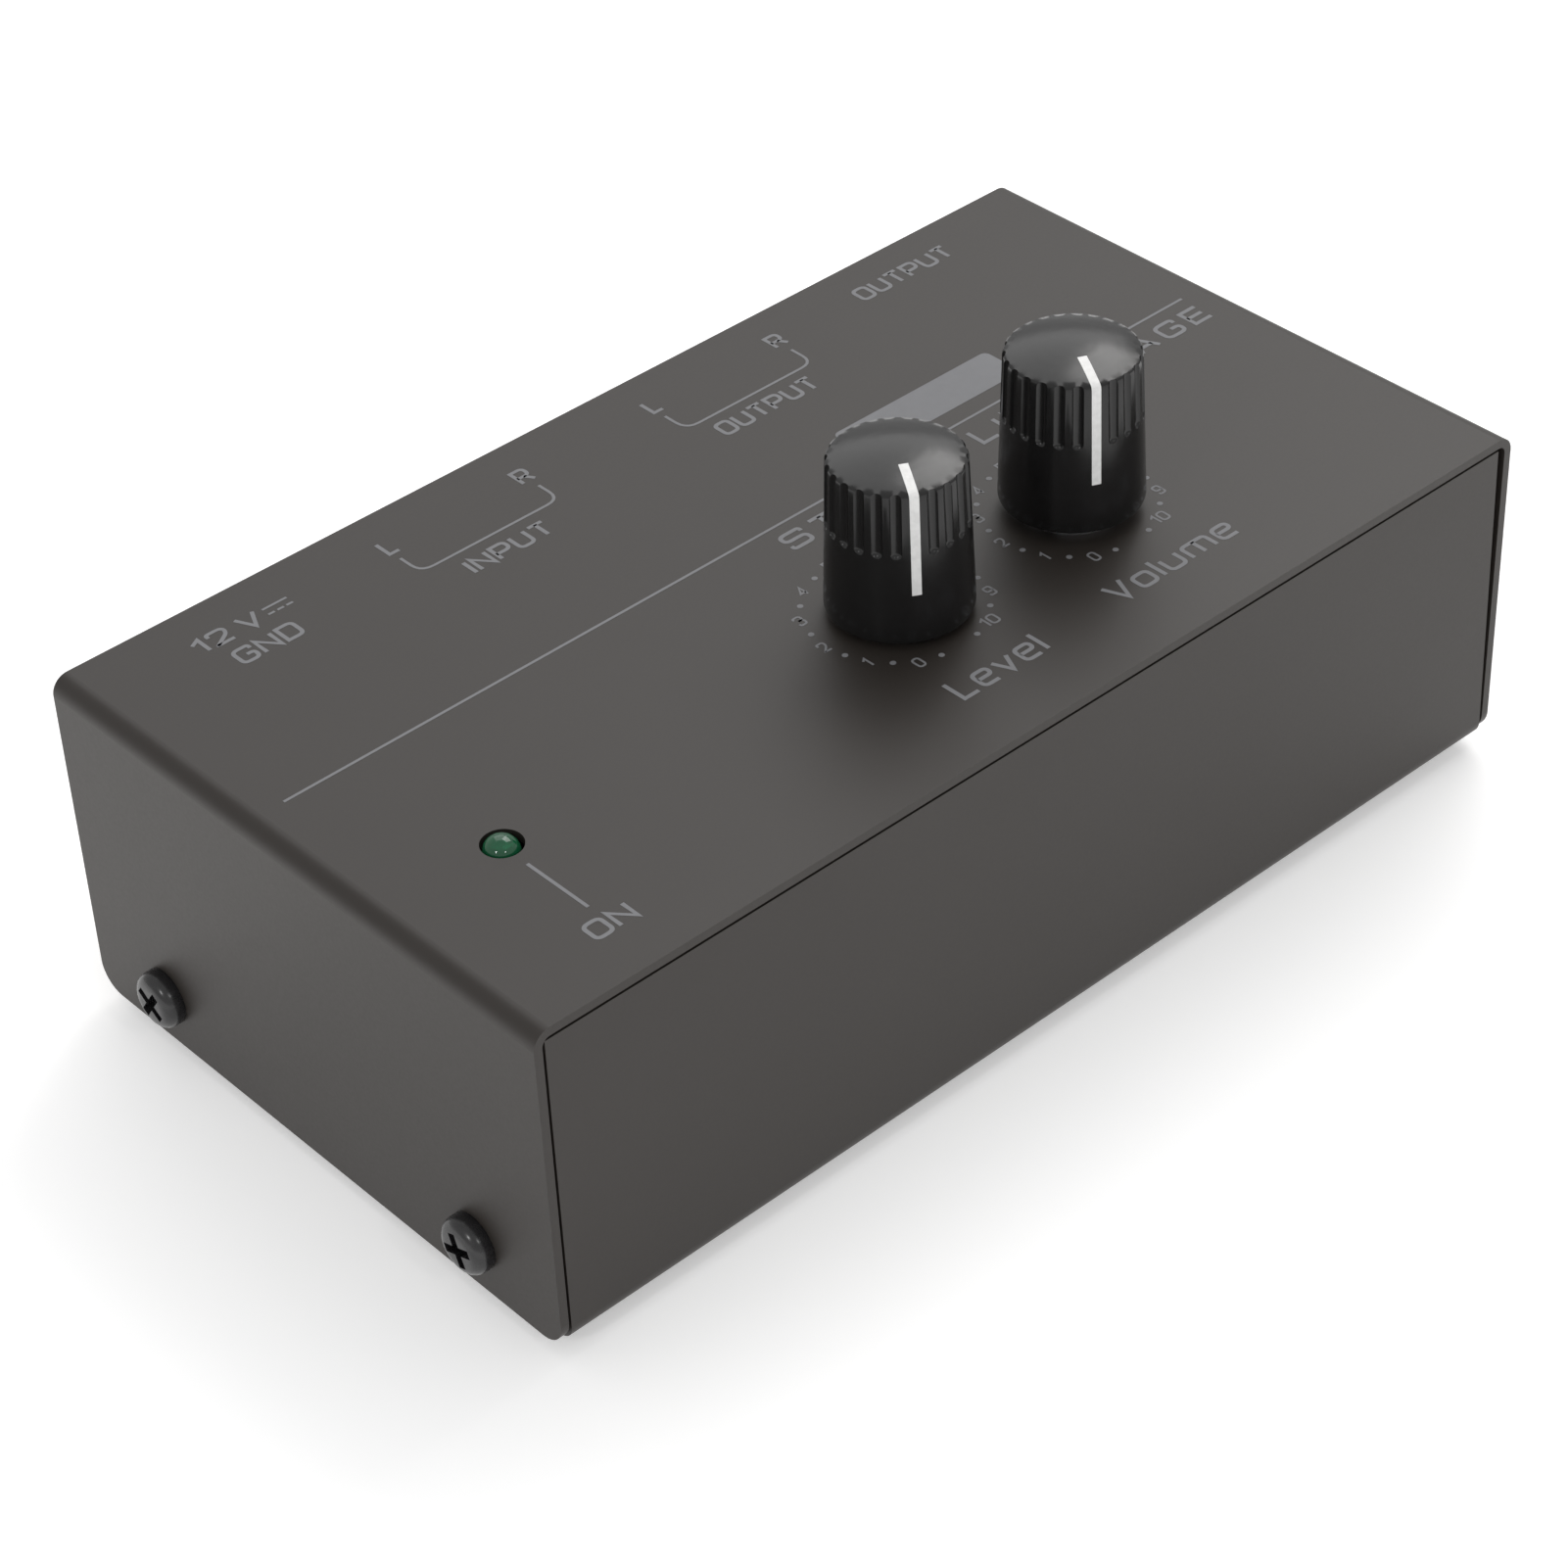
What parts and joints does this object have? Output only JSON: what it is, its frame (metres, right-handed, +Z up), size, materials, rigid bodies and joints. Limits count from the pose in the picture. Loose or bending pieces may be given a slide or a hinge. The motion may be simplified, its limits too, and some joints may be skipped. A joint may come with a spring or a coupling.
{
  "type": "phono and line preamplifier",
  "caption": "Low black sheet-metal audio preamplifier box with Level and Volume knobs on the lid, a power lamp, and phono sockets, stereo jack, supply inlet and ground terminal at the rear.",
  "frame": {"origin": "centre of the bounding box at the underside of the feet", "axes": "+Z up, -Y towards the front panel, +X to the right seen from the front"},
  "size_m": [0.1396, 0.0886, 0.0619],
  "materials": {
    "case_coat": "satin black powder coat",
    "black_screw": "black oxide",
    "rubber": "matt",
    "board_green": "solder resist",
    "brass": "machined",
    "zinc_steel": "bright zinc",
    "nickel": "bright nickel plate",
    "black_moulding": "moulded",
    "wafer_brown": "laminate",
    "shaft_alloy": "turned",
    "tinned_metal": "tinned",
    "knob_black": "satin moulded",
    "pointer_white": "painted",
    "lamp_green": "clear tinted",
    "gold_brass": "gold flash",
    "wire_green": "sleeving",
    "insulator_white": "moulded",
    "insulator_red": "moulded",
    "capacitor_sleeve": "shrink sleeve",
    "film_red": "dipped",
    "resistor_blue": "lacquer",
    "header_white": "moulded",
    "cable_grey": "flexible"
  },
  "bodies": {
    "case": {"amplifier_chip_legs": "tinned_metal", "amplifier_chips": "black_moulding", "base_chassis": "case_coat", "board_posts": "brass", "board_screws": "zinc_steel", "cable_header_lower": "header_white", "cable_header_upper": "header_white", "chip_sockets": "black_moulding", "control_board": "board_green", "cover_screws": "black_screw", "dc_inlet_body": "black_moulding", "dc_inlet_nut": "zinc_steel", "dc_inlet_pin": "nickel", "dc_inlet_tab": "tinned_metal", "film_capacitors": "film_red", "flat_cable": "cable_grey", "ground_locknut": "zinc_steel", "ground_lug": "nickel", "ground_stud": "gold_brass", "hook_up_wires": "wire_green", "input_socket_block": "black_moulding", "led_leads": "tinned_metal", "led_lens": "lamp_green", "level_pot_bushing": "nickel", "level_pot_case": "black_moulding", "level_pot_wafer": "wafer_brown", "main_board": "board_green", "output_socket_block": "black_moulding", "phones_jack_body": "black_moulding", "phones_jack_contacts": "tinned_metal", "phones_jack_nut": "nickel", "phones_jack_pins": "tinned_metal", "phones_jack_washer": "nickel", "phono_centre_contacts": "tinned_metal", "phono_insulators_red": "insulator_red", "phono_insulators_white": "insulator_white", "phono_shells": "nickel", "pot_nuts": "nickel", "pot_pins": "tinned_metal", "pot_washers": "zinc_steel", "regulator_leadframe": "zinc_steel", "reservoir_capacitors": "capacitor_sleeve", "resistors": "resistor_blue", "rubber_feet": "rubber", "signal_capacitors": "capacitor_sleeve", "top_cover": "case_coat", "voltage_regulator": "black_moulding", "volume_pot_bushing": "nickel", "volume_pot_case": "black_moulding", "volume_pot_wafer": "wafer_brown"},
    "level_control": {"level_knob": "knob_black", "level_pointer": "pointer_white", "level_shaft": "shaft_alloy", "level_wiper": "tinned_metal"},
    "volume_control": {"volume_knob": "knob_black", "volume_pointer": "pointer_white", "volume_shaft": "shaft_alloy", "volume_wiper": "tinned_metal"},
    "ground_washer": {"ground_washer": "gold_brass"},
    "ground_nut": {"ground_thumb_nut": "gold_brass"}
  },
  "joints": [
    {"name": "level_turn", "type": "hinge", "parent": "case", "child": "level_control", "pos_m": [0.0006, -0.02055, 0.044], "axis": [0, 0, -1], "range_deg": [0, 300]},
    {"name": "volume_turn", "type": "hinge", "parent": "case", "child": "volume_control", "pos_m": [0.0256, -0.02025, 0.044], "axis": [0, 0, -1], "range_deg": [0, 300]},
    {"name": "ground_washer_slide", "type": "slide", "parent": "case", "child": "ground_washer", "axis": [0, 1, 0], "range_m": [0, 0.0028]},
    {"name": "ground_nut_turn", "type": "hinge", "parent": "ground_washer", "child": "ground_nut", "pos_m": [-0.049, 0.03375, 0.0155], "axis": [0, 1, 0], "range_deg": [0, 1441]}
  ],
  "couplings": [
    {"joint": "ground_nut_turn", "follows": "ground_washer_slide", "rad_per_m": 8976}
  ]
}
